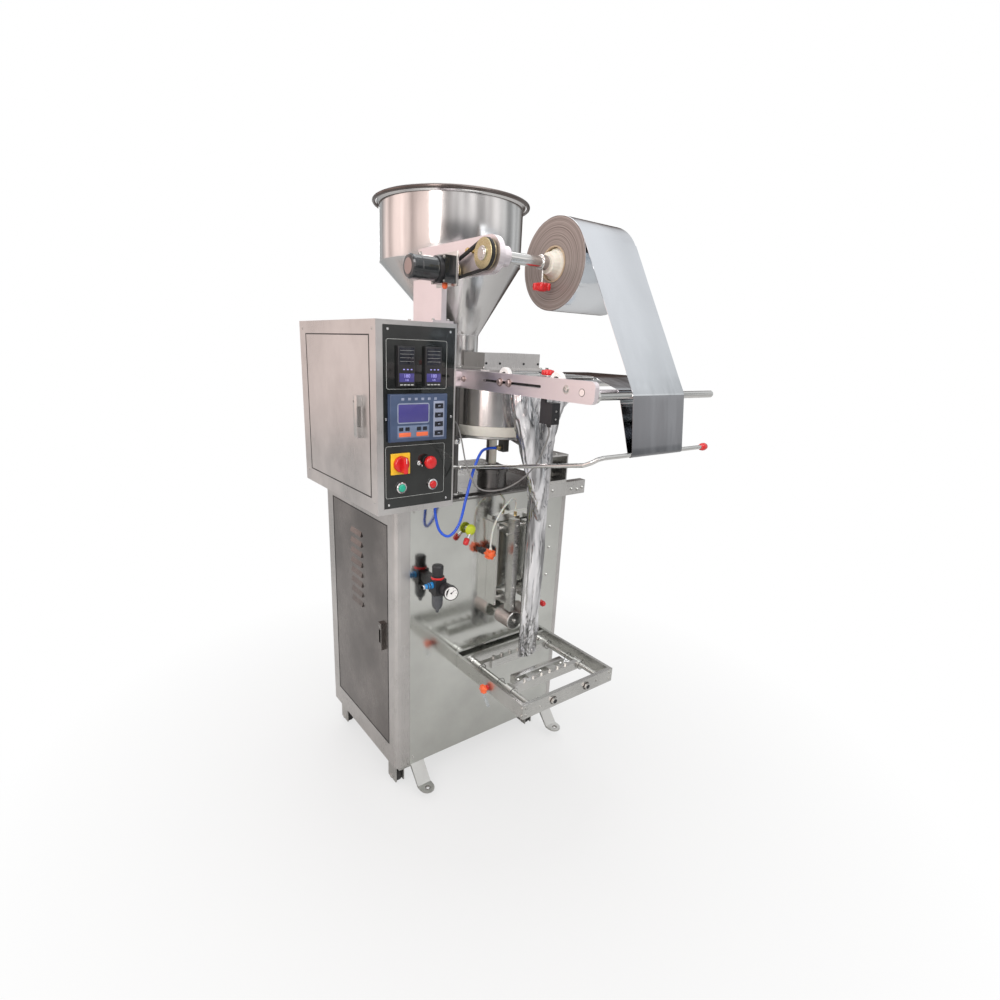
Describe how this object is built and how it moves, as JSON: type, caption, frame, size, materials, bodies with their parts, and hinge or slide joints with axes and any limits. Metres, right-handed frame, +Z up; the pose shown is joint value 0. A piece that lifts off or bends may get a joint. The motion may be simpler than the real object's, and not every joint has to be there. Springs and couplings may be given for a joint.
{
  "type": "vertical form fill seal machine",
  "caption": "Vertical form fill seal machine: castored steel cabinet, side control box, film roll and guide bars, hopper with metering disc, forming tube, seal bars and jaws.",
  "frame": {"origin": "bottom centre of the bounding box, on the floor under the castors", "axes": "+Z up, -Y out of the front panel where the film runs, +X to the right seen from the front"},
  "size_m": [0.817, 1.0925, 1.76],
  "materials": {
    "steel": "brushed",
    "polished": "mirror polished stainless",
    "plated": "zinc plated",
    "black": "satin",
    "motor": "satin",
    "rubber": "matt",
    "red": "gloss",
    "green": "gloss",
    "cream": "satin",
    "film": "laminate film, satin",
    "roll": "wound film edge",
    "brass": "satin",
    "blue": "gloss tube",
    "white": "translucent tube",
    "grey": "cable sheath",
    "hmi": "satin",
    "valve": "gloss",
    "orange": "gloss"
  },
  "bodies": {
    "machine": {"air_hose_blue": "blue", "air_hose_white": "white", "air_regulator": "black", "back_panel": "steel", "cabinet_frame": "steel", "control_box": "steel", "control_panel": "black", "corner_bracket": "steel", "cycle_controller": "hmi", "drive_belt": "rubber", "feeder_cover": "steel", "feeder_drum": "polished", "feeder_stand": "steel", "film_beam": "steel", "film_sleeve": "film", "film_web": "film", "foot_front_left": "steel", "foot_front_right": "steel", "foot_rear_left": "steel", "foot_rear_right": "steel", "forming_tube": "polished", "front_panel": "polished", "guide_bar_front": "polished", "hopper": "polished", "jaw_frame": "polished", "main_gearmotor": "motor", "nozzle_knob": "orange", "photo_eye": "black", "seal_rails": "polished", "sensor_cable": "grey", "table_plate": "steel", "temperature_controller_left": "black", "temperature_controller_right": "black", "throttle_valve": "valve", "unwind_bracket": "steel", "unwind_motor": "motor"},
    "cabinet_door": {"cabinet_door": "steel"},
    "control_box_door": {"control_box_door": "steel"},
    "main_switch": {"main_switch_knob": "red"},
    "emergency_stop": {"emergency_stop_button": "red"},
    "start_button": {"start_button": "green"},
    "stop_button": {"stop_button": "red"},
    "unwind_spindle": {"unwind_spindle": "plated", "roll_hub_cones": "cream", "film_roll": "roll"},
    "motor_pulley": {"motor_pulley": "plated"},
    "infeed_roller": {"infeed_roller": "cream"},
    "top_roller": {"top_roller": "cream"},
    "dancer": {"dancer_arm": "polished"},
    "metering_disc": {"metering_disc": "cream"},
    "seal_bar_left": {"seal_bar_left": "polished"},
    "seal_bar_right": {"seal_bar_right": "polished"},
    "pull_roller_left": {"pull_roller_left": "plated"},
    "pull_roller_right": {"pull_roller_right": "plated"},
    "front_jaw": {"front_jaw": "brass"},
    "rear_jaw": {"rear_jaw": "brass"},
    "castor_front_left": {"castor_wheel_front_left": "rubber"},
    "castor_front_right": {"castor_wheel_front_right": "rubber"},
    "castor_rear_left": {"castor_wheel_rear_left": "rubber"},
    "castor_rear_right": {"castor_wheel_rear_right": "rubber"}
  },
  "joints": [
    {"name": "cabinet_door_hinge", "type": "hinge", "parent": "machine", "child": "cabinet_door", "pos_m": [-0.32, 0.40675, 0.5], "axis": [0, 0, -1], "range_deg": [0, 110]},
    {"name": "control_box_door_hinge", "type": "hinge", "parent": "machine", "child": "control_box_door", "pos_m": [-0.395, 0.38175, 1.2], "axis": [0, 0, -1], "range_deg": [0, 110]},
    {"name": "main_switch_turn", "type": "hinge", "parent": "machine", "child": "main_switch", "pos_m": [-0.3305, -0.07675, 1.074], "axis": [0, 1, 0], "range_deg": [0, 90]},
    {"name": "emergency_stop_press", "type": "slide", "parent": "machine", "child": "emergency_stop", "axis": [0, 1, 0], "range_m": [0, 0.005], "stiffness_N_per_m": 400},
    {"name": "start_press", "type": "slide", "parent": "machine", "child": "start_button", "axis": [0, 1, 0], "range_m": [0, 0.004], "stiffness_N_per_m": 300},
    {"name": "stop_press", "type": "slide", "parent": "machine", "child": "stop_button", "axis": [0, 1, 0], "range_m": [0, 0.004], "stiffness_N_per_m": 300},
    {"name": "unwind_spin", "type": "hinge", "parent": "machine", "child": "unwind_spindle", "pos_m": [-0.2195, -0.24475, 1.563], "axis": [1, 0, 0], "continuous": true},
    {"name": "motor_spin", "type": "hinge", "parent": "machine", "child": "motor_pulley", "pos_m": [-0.2195, -0.12375, 1.535], "axis": [1, 0, 0], "continuous": true},
    {"name": "infeed_roller_spin", "type": "hinge", "parent": "machine", "child": "infeed_roller", "pos_m": [-0.1219, -0.21775, 1.3], "axis": [1, 0, 0], "continuous": true},
    {"name": "top_roller_spin", "type": "hinge", "parent": "machine", "child": "top_roller", "pos_m": [-0.1219, -0.40275, 1.3], "axis": [1, 0, 0], "continuous": true},
    {"name": "dancer_swing", "type": "hinge", "parent": "machine", "child": "dancer", "pos_m": [-0.1235, 0.01125, 1.03], "axis": [-1, 0, 0], "range_deg": [0, 8]},
    {"name": "metering_spin", "type": "hinge", "parent": "machine", "child": "metering_disc", "pos_m": [0.0655, 0.05125, 1.124], "axis": [0, 0, 1], "continuous": true},
    {"name": "seal_left_slide", "type": "slide", "parent": "machine", "child": "seal_bar_left", "axis": [1, 0, 0], "range_m": [0, 0.032]},
    {"name": "seal_right_slide", "type": "slide", "parent": "machine", "child": "seal_bar_right", "axis": [-1, 0, 0], "range_m": [0, 0.032]},
    {"name": "pull_left_spin", "type": "hinge", "parent": "machine", "child": "pull_roller_left", "pos_m": [0.0537, -0.02375, 0.545], "axis": [0, 1, 0], "continuous": true},
    {"name": "pull_right_spin", "type": "hinge", "parent": "machine", "child": "pull_roller_right", "pos_m": [0.1123, -0.02375, 0.545], "axis": [0, 1, 0], "continuous": true},
    {"name": "rear_jaw_slide", "type": "slide", "parent": "machine", "child": "rear_jaw", "axis": [0, -1, 0], "range_m": [0, 0.0455]},
    {"name": "front_jaw_slide", "type": "slide", "parent": "machine", "child": "front_jaw", "axis": [0, 1, 0], "range_m": [0, 0.0455]},
    {"name": "castor_front_left_spin", "type": "hinge", "parent": "machine", "child": "castor_front_left", "pos_m": [-0.2905, 0.03125, 0.021], "axis": [1, 0, 0], "continuous": true},
    {"name": "castor_front_right_spin", "type": "hinge", "parent": "machine", "child": "castor_front_right", "pos_m": [0.2575, 0.03125, 0.021], "axis": [1, 0, 0], "continuous": true},
    {"name": "castor_rear_left_spin", "type": "hinge", "parent": "machine", "child": "castor_rear_left", "pos_m": [-0.2905, 0.40625, 0.021], "axis": [1, 0, 0], "continuous": true},
    {"name": "castor_rear_right_spin", "type": "hinge", "parent": "machine", "child": "castor_rear_right", "pos_m": [0.2575, 0.40625, 0.021], "axis": [1, 0, 0], "continuous": true}
  ],
  "couplings": [
    {"joint": "motor_spin", "follows": "unwind_spin", "ratio": 2.0219},
    {"joint": "seal_right_slide", "follows": "seal_left_slide", "ratio": 1},
    {"joint": "pull_right_spin", "follows": "pull_left_spin", "ratio": -1},
    {"joint": "rear_jaw_slide", "follows": "front_jaw_slide", "ratio": 1}
  ]
}
